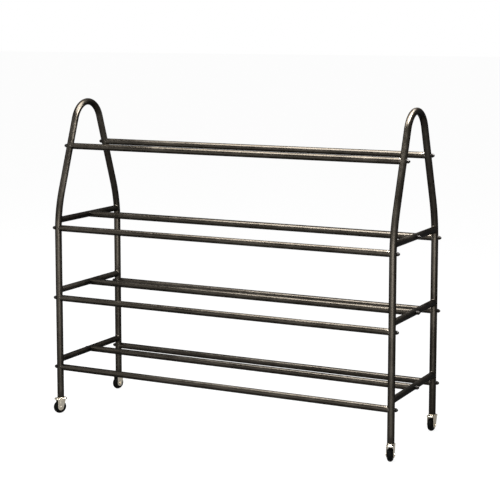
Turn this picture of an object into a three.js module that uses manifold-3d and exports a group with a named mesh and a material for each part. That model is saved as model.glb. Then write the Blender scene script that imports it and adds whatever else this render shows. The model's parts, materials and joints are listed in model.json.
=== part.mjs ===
// Ball cart: two bent-tube end hoops joined by four tiers of rails, on four swivel casters.
// Millimetres. X runs along the rails, Y from front to back, Z up. The origin is on the floor
// under the middle of the overall box, casters included.

import * as THREE from 'three';
import { mergeVertices } from 'three/addons/utils/BufferGeometryUtils.js';
import Module from 'manifold-3d';

// Driving dimensions.
const cart = {
  length: 1372, // between the centre planes of the two hoops
  depth: 423, // between the centre lines of the front and back legs
};

const hoop = {
  diameter: 26,
  wall: 1.5,
  bendStart: 712, // height where the straight legs end
  bendRadius: 465,
  leanDegrees: 19.8, // how far the upper legs lean in from the vertical
  crownRadius: 91,
};

// Heights of the front and back rails' centre lines.
const tierHeights = { top: 1037, upper: 727, lower: 455, bottom: 183 };
const crossbarRise = 30.5; // from a tier's outer rails up to its crossbars and its middle rail

const rail = { diameter: 24, wall: 1.2, plugLength: 22 };
const middleRail = { diameter: 24, wall: 1.2, plugLength: 22 };
const crossbar = { diameter: 24, wall: 1.2 };

// Bolts with a domed hexagonal head, screwed into the plugs in the rails' ends.
const bolt = {
  shankDiameter: 8,
  threadLength: 18, // reach into the plug
  flangeDiameter: 15,
  flangeHeight: 1.8,
  hexAcrossFlats: 13,
  hexHeight: 5,
  domeDiameter: 11,
  domeHeight: 5.5,
};

const caster = {
  trail: 4, // from the swivel axis to the wheel's axle
  wheelDiameter: 50,
  treadWidth: 21, // the tread's section is a half circle this wide
  rimWidth: 3, // radial width of the ring round the side recess
  recessDepth: 2,
  hubDiameter: 15,
  hubStandout: 0.5, // of the hub beyond the tread, on each side
  wheelTopGap: 4, // between the wheel and the fork's crown
  forkThickness: 2.2,
  forkTopWidth: 31,
  forkEndDiameter: 23,
  crownLength: 49, // the crown is a disc of this diameter, cut off flush with the fork's cheeks
  crownThickness: 6,
  crownBevel: 2,
  flangeLip: 1, // of the collar beyond the leg
  flangeThickness: 3,
  sleeveLength: 34,
  stemDiameter: 10,
  stemHeadDiameter: 14,
  stemHeadHeight: 3,
  axleDiameter: 6,
  axleHeadDiameter: 10.5,
  axleHeadHeight: 3,
};

// Directions, in degrees from +X, in which each fork trails its wheel.
const trailDegrees = { front_left: 234, back_left: 252, front_right: 281, back_right: 266 };

const fitGap = 0.3; // left between pieces that are fastened together
const runningGap = 0.5; // left between pieces that turn on each other
const overrun = 2; // how far a cutting solid reaches past what it cuts

// Facet counts.
const tubeSides = 16;
const bendSteps = 4;
const crownSteps = 12;
const boltSides = 8;
const casterSides = 16;
const cheekSteps = 5;
const wheelSides = 24;
const treadSteps = 5; // across the tread, odd so that the middle one is its floor face

const lean = THREE.MathUtils.degToRad(hoop.leanDegrees);
const legBottom = caster.wheelDiameter + caster.wheelTopGap + caster.crownThickness + runningGap
  + caster.flangeThickness + fitGap;

// Upper end of the front leg's bend, measured out from the middle plane and up from the floor.
const bendEnd = {
  offset: cart.depth / 2 - hoop.bendRadius * (1 - Math.cos(lean)),
  height: hoop.bendStart + hoop.bendRadius * Math.sin(lean),
};

const finish = {
  frame: new THREE.MeshStandardMaterial({ color: 0x37322d, roughness: 0.35, metalness: 0.5 }),
  bolt: new THREE.MeshStandardMaterial({ color: 0x1e1c1a, roughness: 0.4, metalness: 0.6 }),
  zinc: new THREE.MeshStandardMaterial({ color: 0xcfcdc8, roughness: 0.28, metalness: 0.9 }),
  tyre: new THREE.MeshStandardMaterial({ color: 0x151515, roughness: 0.6, metalness: 0 }),
};

const wasm = await Module();
wasm.setup();

// Solids and geometries.

function solidOf(geometry) {
  const bare = geometry.clone();
  bare.deleteAttribute('normal');
  bare.deleteAttribute('uv');
  const merged = mergeVertices(bare);
  const corners = merged.index.array;
  const kept = [];
  for (let i = 0; i < corners.length; i += 3) {
    const [a, b, c] = corners.slice(i, i + 3);
    if (a !== b && b !== c && c !== a) kept.push(a, b, c);
  }
  return new wasm.Manifold(new wasm.Mesh({
    numProp: merged.attributes.position.itemSize,
    vertProperties: merged.attributes.position.array,
    triVerts: Uint32Array.from(kept),
  }));
}

function geometryOf(solid) {
  const mesh = solid.getMesh();
  const geometry = new THREE.BufferGeometry();
  geometry.setAttribute('position', new THREE.BufferAttribute(mesh.vertProperties, mesh.numProp));
  geometry.setIndex(new THREE.BufferAttribute(mesh.triVerts, 1));
  geometry.computeVertexNormals();
  return geometry;
}

function cut(solid, ...tools) {
  return tools.reduce((rest, tool) => rest.subtract(tool), solid);
}

// Cylinder whose axis runs along X between two places.
function rodAlongX(diameter, from, to, y, z, count = tubeSides) {
  const geometry = new THREE.CylinderGeometry(diameter / 2, diameter / 2, to - from, count);
  geometry.rotateZ(Math.PI / 2);
  geometry.translate((from + to) / 2, y, z);
  return solidOf(geometry);
}

function rodAlongY(diameter, from, to, x, z, count = tubeSides) {
  const geometry = new THREE.CylinderGeometry(diameter / 2, diameter / 2, to - from, count);
  geometry.translate(x, (from + to) / 2, z);
  return solidOf(geometry);
}

// Solid of revolution about Z from [radius, height] points, its first corner at a phase angle.
function turned(points, count, phase = 0) {
  const profile = points.map(([radius, height]) => new THREE.Vector2(radius, height));
  const geometry = new THREE.LatheGeometry(profile, count, phase);
  geometry.rotateX(Math.PI / 2);
  return solidOf(geometry);
}

// End hoops.

// Centre line of a hoop in its own plane, as stations with their direction of travel: up the
// front leg, over the crown and down the back leg. Tails lengthen both ends downwards.
function hoopStations(tail) {
  const crownHeight = bendEnd.height - hoop.crownRadius * Math.sin(lean)
    + (bendEnd.offset - hoop.crownRadius * Math.cos(lean)) / Math.tan(lean);
  const bend = [];
  for (let i = 0; i <= bendSteps; i += 1) {
    const turn = (lean * i) / bendSteps;
    const offset = cart.depth / 2 - hoop.bendRadius * (1 - Math.cos(turn));
    bend.push({ offset, height: hoop.bendStart + hoop.bendRadius * Math.sin(turn), turn });
  }
  const crown = [];
  for (let i = 0; i <= crownSteps; i += 1) {
    const turn = lean + ((Math.PI - 2 * lean) * i) / crownSteps;
    const offset = hoop.crownRadius * Math.cos(turn);
    crown.push({ offset, height: crownHeight + hoop.crownRadius * Math.sin(turn), turn });
  }
  const front = [{ offset: cart.depth / 2, height: legBottom - tail, turn: 0 }, ...bend];
  const back = front.map(({ offset, height, turn }) => ({
    offset: -offset,
    height,
    turn: Math.PI - turn,
  }));
  return [...front, ...crown, ...back.reverse()];
}

class StationPath extends THREE.Curve {
  constructor(stations) {
    super();
    this.stations = stations;
  }

  stationAt(share) {
    return this.stations[Math.round(share * (this.stations.length - 1))];
  }

  getPointAt(share) {
    const { offset, height } = this.stationAt(share);
    return new THREE.Vector3(0, -offset, height);
  }

  getTangentAt(share) {
    const { turn } = this.stationAt(share);
    return new THREE.Vector3(0, Math.sin(turn), Math.cos(turn));
  }
}

function hoopRod(diameter, x, tail = 0) {
  const stations = hoopStations(tail);
  const section = new THREE.Shape();
  for (let i = 0; i < tubeSides; i += 1) {
    const angle = (2 * Math.PI * i) / tubeSides;
    const corner = [(Math.cos(angle) * diameter) / 2, (Math.sin(angle) * diameter) / 2];
    if (i === 0) section.moveTo(...corner);
    else section.lineTo(...corner);
  }
  section.closePath();
  const geometry = new THREE.ExtrudeGeometry(section, {
    extrudePath: new StationPath(stations),
    steps: stations.length - 1,
    bevelEnabled: false,
  });
  geometry.translate(x, 0, 0);
  return solidOf(geometry);
}

// Distance from the middle plane to the leg's centre line at a height.
function legOffsetAt(height) {
  const rise = Math.max(height - hoop.bendStart, 0);
  if (height < bendEnd.height) {
    return cart.depth / 2 - hoop.bendRadius + Math.sqrt(hoop.bendRadius ** 2 - rise ** 2);
  }
  return bendEnd.offset - (height - bendEnd.height) * Math.tan(lean);
}

const sides = { left: -1, right: 1 };
const rows = { front: -1, middle: 0, back: 1 };
const crossbarTiers = ['upper', 'lower', 'bottom'];
const hoopPlane = cart.length / 2;

// Every rail's place, and the diameter of the tube that its bolts clamp it to.
const railPlaces = [];
for (const [tier, height] of Object.entries(tierHeights)) {
  for (const [row, way] of Object.entries(rows)) {
    const inner = row === 'middle';
    if (inner && !crossbarTiers.includes(tier)) continue;
    railPlaces.push({
      tier,
      row,
      tube: inner ? middleRail : rail,
      seatDiameter: inner ? crossbar.diameter : hoop.diameter,
      y: way * legOffsetAt(height),
      z: inner ? height + crossbarRise : height,
    });
  }
}

const boltHole = bolt.shankDiameter + 2 * fitGap;
const domeShare = Math.SQRT1_2; // of the dome's radius and height, at its one facet edge

function makeHoop(way) {
  const x = way * hoopPlane;
  const holes = railPlaces
    .filter(({ row }) => row !== 'middle')
    .map(({ y, z }) => rodAlongX(boltHole, x - hoop.diameter, x + hoop.diameter, y, z, boltSides));
  const bore = hoopRod(hoop.diameter - 2 * hoop.wall, x, overrun);
  return cut(hoopRod(hoop.diameter, x), bore, ...holes);
}

// Space that a hoop and its fitting gap take up.
function hoopEnvelope(way) {
  return hoopRod(hoop.diameter + 2 * fitGap, way * hoopPlane);
}

// Crossbars and rails.

function makeCrossbar(way, tier) {
  const x = way * hoopPlane;
  const height = tierHeights[tier] + crossbarRise;
  const reach = legOffsetAt(height);
  const body = rodAlongY(crossbar.diameter, -reach, reach, x, height);
  const bore = rodAlongY(crossbar.diameter - 2 * crossbar.wall, -reach, reach, x, height);
  const hole = rodAlongX(boltHole, x - crossbar.diameter, x + crossbar.diameter, 0, height, boltSides);
  return cut(body, bore, hole, hoopEnvelope(way));
}

function crossbarEnvelope(way, height) {
  const reach = legOffsetAt(height);
  return rodAlongY(crossbar.diameter + 2 * fitGap, -reach, reach, way * hoopPlane, height);
}

// Tube with a welded plug in each end, tapped for its bolt and coped to what it seats on.
function makeRail({ row, tube, seatDiameter, y, z }) {
  const body = rodAlongX(tube.diameter, -hoopPlane, hoopPlane, y, z);
  const plugEnd = hoopPlane - seatDiameter / 2 - tube.plugLength;
  const bore = rodAlongX(tube.diameter - 2 * tube.wall, -plugEnd, plugEnd, y, z);
  const thread = rodAlongX(boltHole, -hoopPlane, hoopPlane, y, z, boltSides);
  const seats = Object.values(sides).map((way) => (
    row === 'middle' ? crossbarEnvelope(way, z) : hoopEnvelope(way)
  ));
  return cut(body, bore, thread, ...seats);
}

// Bolt built along +Z from its seat, with the shank below and the head above.
function makeBolt({ seatDiameter }) {
  const shank = bolt.shankDiameter / 2;
  const reach = seatDiameter + fitGap + bolt.threadLength;
  const dome = bolt.domeDiameter / 2;
  const hexTop = bolt.flangeHeight + bolt.hexHeight;
  const spun = turned([
    [0, -reach],
    [shank, -reach],
    [shank, 0],
    [bolt.flangeDiameter / 2, 0],
    [bolt.flangeDiameter / 2, bolt.flangeHeight],
    [dome, bolt.flangeHeight],
    [dome, hexTop],
    [dome * domeShare, hexTop + bolt.domeHeight * domeShare],
    [0, hexTop + bolt.domeHeight],
  ], boltSides);
  const hexCorner = bolt.hexAcrossFlats / Math.sqrt(3);
  const hex = new THREE.CylinderGeometry(hexCorner, hexCorner, bolt.hexHeight, 6);
  hex.rotateX(Math.PI / 2);
  hex.translate(0, 0, bolt.flangeHeight + bolt.hexHeight / 2);
  return spun.add(solidOf(hex));
}

// Casters, built about their swivel axis with the wheel trailing towards +X.

const hubWidth = caster.treadWidth + 2 * caster.hubStandout;
const forkInside = hubWidth + 2 * runningGap;
const forkOutside = forkInside + 2 * caster.forkThickness;
const crownUnderside = caster.wheelDiameter + caster.wheelTopGap;
const crownTop = crownUnderside + caster.crownThickness;
const flangeUnderside = crownTop + runningGap;
const sleeveTop = legBottom + caster.sleeveLength;
const axleHeight = caster.wheelDiameter / 2;

// A faceted bore is widened so that its flats clear the round pin inside it.
function clearRadius(diameter, gap, count) {
  return (diameter / 2 + gap) / Math.cos(Math.PI / count);
}

function makeSocket() {
  const bore = clearRadius(caster.stemDiameter, fitGap, casterSides);
  const collar = hoop.diameter / 2 + caster.flangeLip;
  const sleeve = (hoop.diameter / 2 - hoop.wall) * Math.cos(Math.PI / tubeSides) - fitGap;
  return turned([
    [bore, flangeUnderside],
    [collar, flangeUnderside],
    [collar, flangeUnderside + caster.flangeThickness],
    [sleeve, flangeUnderside + caster.flangeThickness],
    [sleeve, sleeveTop],
    [bore, sleeveTop],
    [bore, flangeUnderside],
  ], casterSides);
}

// One cheek of the fork, from the crown down and back to the axle.
function forkCheek(way) {
  const halfTop = caster.forkTopWidth / 2;
  const end = caster.forkEndDiameter / 2;
  const outline = new THREE.Shape();
  outline.moveTo(-halfTop, crownTop);
  outline.lineTo(-halfTop, crownUnderside);
  outline.lineTo(caster.trail - end, axleHeight);
  outline.absarc(caster.trail, axleHeight, end, Math.PI, 2 * Math.PI, false);
  outline.lineTo(halfTop, crownUnderside);
  outline.lineTo(halfTop, crownTop);
  outline.closePath();
  const geometry = new THREE.ExtrudeGeometry(outline, {
    depth: caster.forkThickness,
    bevelEnabled: false,
    curveSegments: cheekSteps,
  });
  geometry.rotateX(Math.PI / 2);
  const near = (way * (forkInside + caster.forkThickness) + caster.forkThickness) / 2;
  geometry.translate(0, near, 0);
  return solidOf(geometry);
}

function makeFork() {
  const stem = caster.stemDiameter / 2;
  const head = caster.stemHeadDiameter / 2;
  const headUnderside = sleeveTop + runningGap;
  const headTop = headUnderside + caster.stemHeadHeight;
  const disc = turned([
    [0, crownUnderside],
    [caster.crownLength / 2 - caster.crownBevel, crownUnderside],
    [caster.crownLength / 2, crownUnderside + caster.crownBevel],
    [caster.crownLength / 2, crownTop],
    [stem, crownTop],
    [stem, headUnderside],
    [head, headUnderside],
    [head, headTop],
    [0, headTop],
  ], casterSides);
  const height = headTop - crownUnderside + 2 * overrun;
  const slab = new THREE.BoxGeometry(caster.crownLength + 2 * overrun, forkOutside, height);
  slab.translate(0, 0, (headTop + crownUnderside) / 2);
  const crown = disc.intersect(solidOf(slab));
  const axleHole = caster.axleDiameter + 2 * fitGap;
  const hole = rodAlongY(axleHole, -forkOutside, forkOutside, caster.trail, axleHeight, boltSides);
  return cut(crown.add(forkCheek(-1)).add(forkCheek(1)), hole);
}

// Wheel about +Z through its own centre. The flats of its tread touch the true circle, and one
// of them faces the floor.
function makeWheel() {
  const bore = clearRadius(caster.axleDiameter, runningGap, wheelSides);
  const halfWidth = caster.treadWidth / 2;
  const halfHub = hubWidth / 2;
  const hub = caster.hubDiameter / 2;
  const core = caster.wheelDiameter / 2 - halfWidth; // radius at which the round tread starts
  const rim = core - caster.rimWidth;
  const web = halfWidth - caster.recessDepth;
  const swell = halfWidth / Math.cos(Math.PI / (2 * treadSteps));
  const tread = [];
  for (let i = 0; i <= treadSteps; i += 1) {
    const angle = Math.PI * (i / treadSteps - 1 / 2);
    const radius = (core + swell * Math.cos(angle)) / Math.cos(Math.PI / wheelSides);
    tread.push([radius, halfWidth * Math.sin(angle)]);
  }
  const lower = [[bore, -halfHub], [hub, -halfHub], [hub, -web], [rim, -web], [rim, -halfWidth]];
  const upper = lower.map(([radius, height]) => [radius, -height]).reverse();
  return turned([...lower, ...tread, ...upper, lower[0]], wheelSides, Math.PI / wheelSides);
}

function makeAxle() {
  const shank = caster.axleDiameter / 2;
  const head = caster.axleHeadDiameter / 2;
  const seat = forkOutside / 2 + fitGap;
  const end = seat + caster.axleHeadHeight;
  return turned([
    [0, -end],
    [head, -end],
    [head, -seat],
    [shank, -seat],
    [shank, seat],
    [head, seat],
    [head, end],
    [0, end],
  ], boltSides);
}

// Assembly.

const ballCart = new THREE.Group();
ballCart.name = 'ball_cart';

function addPiece(group, name, solid, material) {
  const mesh = new THREE.Mesh(geometryOf(solid), material);
  mesh.name = name;
  group.add(mesh);
  return mesh;
}

for (const [side, way] of Object.entries(sides)) {
  addPiece(ballCart, `hoop_${side}`, makeHoop(way), finish.frame);
  for (const tier of crossbarTiers) {
    addPiece(ballCart, `crossbar_${tier}_${side}`, makeCrossbar(way, tier), finish.frame);
  }
}

for (const place of railPlaces) {
  addPiece(ballCart, `rail_${place.tier}_${place.row}`, makeRail(place), finish.frame);
  for (const [side, way] of Object.entries(sides)) {
    const name = `bolt_${place.tier}_${place.row}_${side}`;
    const mesh = addPiece(ballCart, name, makeBolt(place), finish.bolt);
    mesh.rotation.y = (way * Math.PI) / 2;
    mesh.position.set(way * (hoopPlane + place.seatDiameter / 2 + fitGap), place.y, place.z);
  }
}

for (const [corner, degrees] of Object.entries(trailDegrees)) {
  const [row, side] = corner.split('_');
  const group = new THREE.Group();
  group.position.set(sides[side] * hoopPlane, (rows[row] * cart.depth) / 2, 0);
  group.rotation.z = THREE.MathUtils.degToRad(degrees);
  addPiece(group, `caster_socket_${corner}`, makeSocket(), finish.zinc);
  addPiece(group, `caster_fork_${corner}`, makeFork(), finish.zinc);
  const wheel = addPiece(group, `caster_wheel_${corner}`, makeWheel(), finish.tyre);
  const axle = addPiece(group, `caster_axle_${corner}`, makeAxle(), finish.zinc);
  for (const mesh of [wheel, axle]) {
    mesh.rotation.x = Math.PI / 2;
    mesh.position.set(caster.trail, 0, axleHeight);
  }
  ballCart.add(group);
}

// The turned casters reach further on some sides, so the overall box is off the frame's centre.
const boxMiddle = new THREE.Box3().setFromObject(ballCart, true).getCenter(new THREE.Vector3());
for (const piece of ballCart.children) {
  piece.position.x -= boxMiddle.x;
  piece.position.y -= boxMiddle.y;
}

export default ballCart;
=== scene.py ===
import json
import math

import bmesh
import bpy
import numpy as np
from mathutils import Matrix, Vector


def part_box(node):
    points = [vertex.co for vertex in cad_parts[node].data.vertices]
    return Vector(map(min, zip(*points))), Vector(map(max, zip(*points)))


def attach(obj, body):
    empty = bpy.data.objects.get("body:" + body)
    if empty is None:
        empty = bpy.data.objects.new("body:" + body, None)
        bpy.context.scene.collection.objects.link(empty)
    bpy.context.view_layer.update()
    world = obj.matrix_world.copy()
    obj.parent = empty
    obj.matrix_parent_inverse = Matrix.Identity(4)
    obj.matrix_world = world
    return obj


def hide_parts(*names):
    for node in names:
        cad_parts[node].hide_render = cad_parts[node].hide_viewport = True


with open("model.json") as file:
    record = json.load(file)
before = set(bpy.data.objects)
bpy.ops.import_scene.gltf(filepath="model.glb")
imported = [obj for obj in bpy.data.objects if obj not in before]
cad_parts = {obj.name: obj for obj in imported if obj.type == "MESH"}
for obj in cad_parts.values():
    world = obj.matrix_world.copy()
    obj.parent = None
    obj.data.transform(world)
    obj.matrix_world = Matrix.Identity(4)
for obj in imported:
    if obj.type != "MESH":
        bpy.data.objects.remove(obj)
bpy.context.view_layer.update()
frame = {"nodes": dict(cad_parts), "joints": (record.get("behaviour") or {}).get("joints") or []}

# Ball cart: bent tube hoops, rails and crossbars in a dark coat, on bright plated casters.
# Metres, in the frame of the CAD model. Places come from its nodes and joints.

sides = {"left": -1, "right": 1}  # ways along X
rows = {"front": -1, "middle": 0, "back": 1}  # ways along Y
joints = {joint["name"]: joint for joint in frame["joints"]}
mm = 0.001
nearZero = 1e-6  # stands in for zero where a value is divided by or raised to a power


# Box of a CAD node as numpy arrays.
def boxOf(node):
    low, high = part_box(node)
    return np.array(low), np.array(high)


# Meshes from grids of points.

meshing = {"mergeDistance": 1e-6, "creaseDegrees": 38}


# Four corners for each cell of a grid whose points are numbered row by row. A wrapped direction
# joins its last line to its first.
def gridQuads(rowCount, columnCount, wrapRows, wrapColumns):
    row, column = np.meshgrid(
        np.arange(rowCount if wrapRows else rowCount - 1),
        np.arange(columnCount if wrapColumns else columnCount - 1),
        indexing="ij",
    )
    below = (row + 1) % rowCount
    beside = (column + 1) % columnCount
    corners = [
        row * columnCount + column,
        row * columnCount + beside,
        below * columnCount + beside,
        below * columnCount + column,
    ]
    return np.stack(corners, axis=-1).reshape(-1, 4)


# A closed surface over a grid of points, with how worn each point is and which finish it has. Each
# row of the grid is a ring, and wrapped rows join the last ring to the first.
def shellOf(points, wear, wrapRows=False, finish=0):
    rowCount, columnCount = points.shape[:2]
    return {
        "points": points.reshape(-1, 3),
        "quads": gridQuads(rowCount, columnCount, wrapRows, True),
        "wear": np.broadcast_to(wear, (rowCount, columnCount)).reshape(-1),
        "finish": finish,
    }


# One mesh from closed shells. Points that coincide at poles and seams are merged, and then every
# face is turned outwards.
def meshOf(name, shells):
    starts = np.cumsum([0] + [len(part["points"]) for part in shells])
    points = np.concatenate([part["points"] for part in shells])
    quads = np.concatenate([part["quads"] + start for part, start in zip(shells, starts)])
    wear = np.concatenate([part["wear"] for part in shells])
    finishIndex = np.concatenate([np.full(len(part["quads"]), part["finish"]) for part in shells])

    mesh = bpy.data.meshes.new(name)
    mesh.vertices.add(len(points))
    mesh.vertices.foreach_set("co", points.astype(np.float32).ravel())
    mesh.loops.add(quads.size)
    mesh.loops.foreach_set("vertex_index", quads.astype(np.int32).ravel())
    mesh.polygons.add(len(quads))
    mesh.polygons.foreach_set("loop_start", np.arange(0, quads.size, 4, dtype=np.int32))
    mesh.polygons.foreach_set("material_index", finishIndex.astype(np.int32))
    mesh.update(calc_edges=True)
    layer = mesh.attributes.new("wear", "FLOAT", "POINT")
    layer.data.foreach_set("value", wear.astype(np.float32))

    merged = bmesh.new()
    merged.from_mesh(mesh)
    bmesh.ops.remove_doubles(merged, verts=merged.verts, dist=meshing["mergeDistance"])
    bmesh.ops.recalc_face_normals(merged, faces=merged.faces)
    merged.to_mesh(mesh)
    merged.free()
    mesh.shade_smooth()
    mesh.set_sharp_from_angle(angle=math.radians(meshing["creaseDegrees"]))
    return mesh


# "bolt_top_front_left" becomes "boltTopFrontLeft".
def camel(node):
    first, *others = node.split("_")
    return first + "".join(word.capitalize() for word in others)


# The object that takes the place of a CAD node.
def makePiece(node, shells, finishes, body):
    mesh = meshOf(camel(node), shells)
    for finish in finishes:
        mesh.materials.append(finish)
    piece = bpy.data.objects.new(camel(node), mesh)
    bpy.context.scene.collection.objects.link(piece)
    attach(piece, body)
    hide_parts(node)


# Angles evenly round a circle, the start not repeated.
def anglesRound(count):
    return np.linspace(0, 2 * math.pi, count, endpoint=False)


# Rounds each inner corner of an open outline with a parabola from one side to the other: it
# starts and ends at the given distance from the corner, or at half a side where that is shorter.
def softenOutline(corners, distance, steps=4):
    corners = np.array(corners, float)
    outline = [corners[0]]
    share = np.linspace(0, 1, steps + 1)[:, None]
    for before, corner, after in zip(corners[:-2], corners[1:-1], corners[2:]):
        inward = before - corner
        outward = after - corner
        reachIn = min(distance, np.linalg.norm(inward) / 2)
        reachOut = min(distance, np.linalg.norm(outward) / 2)
        start = corner + inward / np.linalg.norm(inward) * reachIn
        end = corner + outward / np.linalg.norm(outward) * reachOut
        outline.extend((1 - share) ** 2 * start + 2 * share * (1 - share) * corner + share**2 * end)
    outline.append(corners[-1])
    return np.array(outline)


# Points of an outline, given as millimetres inwards and upwards from one of its corners.
def offCorner(radius, height, steps):
    return [(radius - inward * mm, height + upward * mm) for inward, upward in steps]


# Values in their order and then in the reverse order, these times a sign.
def thereAndBack(values, sign=1):
    return np.concatenate([values, sign * values[::-1]])


# Height of a round tube's surface over its axis, at a distance to one side of it.
def roundHeight(radius, aside):
    return np.sqrt(np.clip(radius**2 - aside**2, 0, None))


# Points of revolution: the radius times the cosine and sine of the column's angle, and the height.
# Each row has one radius and one height, or one for each column.
def turnedPoints(radius, height, columns):
    angle = anglesRound(columns)
    return np.stack(np.broadcast_arrays(radius * np.cos(angle), radius * np.sin(angle), height), axis=-1)


# Local points in the cart's frame: the origin plus each coordinate times its own axis.
def placed(points, origin, axes):
    return origin + points @ axes


# An outline turned about the local Z axis. Its wear is one value, or one for each row.
def turnedShell(outline, origin, axes, columns, wear, wrapRows=False, finish=0):
    points = turnedPoints(outline[:, :1], outline[:, 1:], columns)
    return shellOf(placed(points, origin, axes), np.reshape(wear, (-1, 1)), wrapRows, finish)


# Shader node groups.

# An empty group that takes a Vector and named numbers, and puts out named numbers.
def newGroup(name, defaults, results):
    group = bpy.data.node_groups.new(name, "ShaderNodeTree")
    group.interface.new_socket("Vector", in_out="INPUT", socket_type="NodeSocketVector")
    for socketName, default in defaults.items():
        socket = group.interface.new_socket(socketName, in_out="INPUT", socket_type="NodeSocketFloat")
        socket.default_value = default
    for socketName in results:
        group.interface.new_socket(socketName, in_out="OUTPUT", socket_type="NodeSocketFloat")
    return group, group.nodes.new("NodeGroupInput").outputs, group.nodes.new("NodeGroupOutput").inputs


# A node with its settings and the plain values of its inputs.
def addNode(tree, kind, settings=None, values=None):
    node = tree.nodes.new(kind)
    for key, value in (settings or {}).items():
        setattr(node, key, value)
    for key, value in (values or {}).items():
        node.inputs[key].default_value = value
    return node


# Links another node's output to an input, or sets the input to a plain value.
def connect(tree, value, socket):
    if isinstance(value, bpy.types.NodeSocket):
        tree.links.new(value, socket)
    else:
        socket.default_value = value


def addMath(tree, operation, first, second, clamp=False):
    node = addNode(tree, "ShaderNodeMath", {"operation": operation, "use_clamp": clamp})
    connect(tree, first, node.inputs[0])
    connect(tree, second, node.inputs[1])
    return node.outputs[0]


def addNoise(tree, vector, scale, detail, roughness=0.5):
    node = addNode(tree, "ShaderNodeTexNoise", values={"Detail": detail, "Roughness": roughness})
    connect(tree, vector, node.inputs["Vector"])
    connect(tree, scale, node.inputs["Scale"])
    return node.outputs["Fac"]


# Zero up to the low end and one from the high end on, with a smooth rise between them.
def addRise(tree, value, ends):
    settings = {"interpolation_type": "SMOOTHSTEP"}
    node = addNode(tree, "ShaderNodeMapRange", settings, {"From Min": ends[0], "From Max": ends[1]})
    tree.links.new(value, node.inputs["Value"])
    return node.outputs["Result"]


# Each rise is from the value where its mask is zero to the value where it is one.
effects = {
    "fleckFiner": 4.3,  # times the scale of the rubbing
    "rubbedRise": (0.66, 0.78),
    "smallSmudgeFiner": 11.0,  # times the scale of the wide smudges
    "smallSmudgeShare": 0.45,
    "smudgeRise": (0.52, 0.95),
    "upwardRise": (0.35, 1.0),  # of the normal's height
    "dustRise": (0.3, 0.8),
}


# Where a coat has rubbed through: worn edges, broken up by coarse noise and flecked by fine noise.
def makeRubbedGroup():
    group, given, result = newGroup("Rubbed Edges", {"Wear": 0.0, "Amount": 0.5, "Scale": 400.0}, ["Mask"])
    coarse = addNoise(group, given["Vector"], given["Scale"], detail=4.0, roughness=0.65)
    fineScale = addMath(group, "MULTIPLY", given["Scale"], effects["fleckFiner"])
    fine = addNoise(group, given["Vector"], fineScale, detail=2.0)
    mottled = addMath(group, "MULTIPLY", coarse, fine)
    edge = addMath(group, "MULTIPLY", given["Wear"], given["Amount"])
    reached = addMath(group, "ADD", mottled, edge)
    group.links.new(addRise(group, reached, effects["rubbedRise"]), result["Mask"])
    return group


# Relief of a sprayed or plated skin: broad soft waves with a little fine grain on them.
def makeSkinGroup():
    defaults = {"Wave Scale": 500.0, "Grain Scale": 2500.0, "Grain Share": 0.3}
    group, given, result = newGroup("Skin Relief", defaults, ["Height"])
    waves = addNoise(group, given["Vector"], given["Wave Scale"], detail=1.0)
    grain = addNoise(group, given["Vector"], given["Grain Scale"], detail=3.0, roughness=0.6)
    share = addMath(group, "MULTIPLY", grain, given["Grain Share"])
    group.links.new(addMath(group, "ADD", waves, share), result["Height"])
    return group


# Uneven gloss from handling: wide smudges over small ones, spread between two values.
def makeSmudgeGroup():
    defaults = {"Scale": 9.0, "Low": 0.2, "High": 0.4}
    group, given, result = newGroup("Handled Gloss", defaults, ["Value", "Mask"])
    wide = addNoise(group, given["Vector"], given["Scale"], detail=3.0)
    smallScale = addMath(group, "MULTIPLY", given["Scale"], effects["smallSmudgeFiner"])
    small = addNoise(group, given["Vector"], smallScale, detail=4.0, roughness=0.6)
    blend = addMath(group, "ADD", wide, addMath(group, "MULTIPLY", small, effects["smallSmudgeShare"]))
    mask = addRise(group, blend, effects["smudgeRise"])
    spread = addMath(group, "SUBTRACT", given["High"], given["Low"])
    value = addMath(group, "ADD", given["Low"], addMath(group, "MULTIPLY", mask, spread))
    group.links.new(value, result["Value"])
    group.links.new(mask, result["Mask"])
    return group


# Fine dust that settles on faces that look up, thin and patchy.
def makeDustGroup():
    group, given, result = newGroup("Settled Dust", {"Amount": 0.1, "Scale": 60.0}, ["Mask"])
    geometry = group.nodes.new("ShaderNodeNewGeometry")
    parts = group.nodes.new("ShaderNodeSeparateXYZ")
    group.links.new(geometry.outputs["Normal"], parts.inputs[0])
    upward = addRise(group, parts.outputs["Z"], effects["upwardRise"])
    patches = addNoise(group, given["Vector"], given["Scale"], detail=5.0, roughness=0.7)
    patchy = addMath(group, "MULTIPLY", upward, addRise(group, patches, effects["dustRise"]))
    mask = addMath(group, "MULTIPLY", patchy, given["Amount"], clamp=True)
    group.links.new(mask, result["Mask"])
    return group


groups = {
    "rubbed": makeRubbedGroup(),
    "skin": makeSkinGroup(),
    "smudge": makeSmudgeGroup(),
    "dusted": makeDustGroup(),
}
print("node groups:", ", ".join(group.name for group in bpy.data.node_groups))


# Materials.

mixSockets = {"RGBA": (6, 7, 2), "FLOAT": (2, 3, 0)}  # of a Mix node: first, second and result


# Mixes two colours, as RGBA, or two numbers, as FLOAT, by a mask.
def addMix(tree, kind, mask, first, second):
    node = addNode(tree, "ShaderNodeMix", {"data_type": kind})
    firstIndex, secondIndex, resultIndex = mixSockets[kind]
    connect(tree, mask, node.inputs["Factor"])
    connect(tree, first, node.inputs[firstIndex])
    connect(tree, second, node.inputs[secondIndex])
    return node.outputs[resultIndex]


# A group node, with the values that the look has for it, on the given coordinates and wear.
def addEffect(tree, key, look, sources):
    node = addNode(tree, "ShaderNodeGroup", {"node_tree": groups[key]}, look[key])
    for socketName in ("Vector", "Wear"):
        if socketName in node.inputs:
            tree.links.new(sources[socketName], node.inputs[socketName])
    return node.outputs


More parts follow.
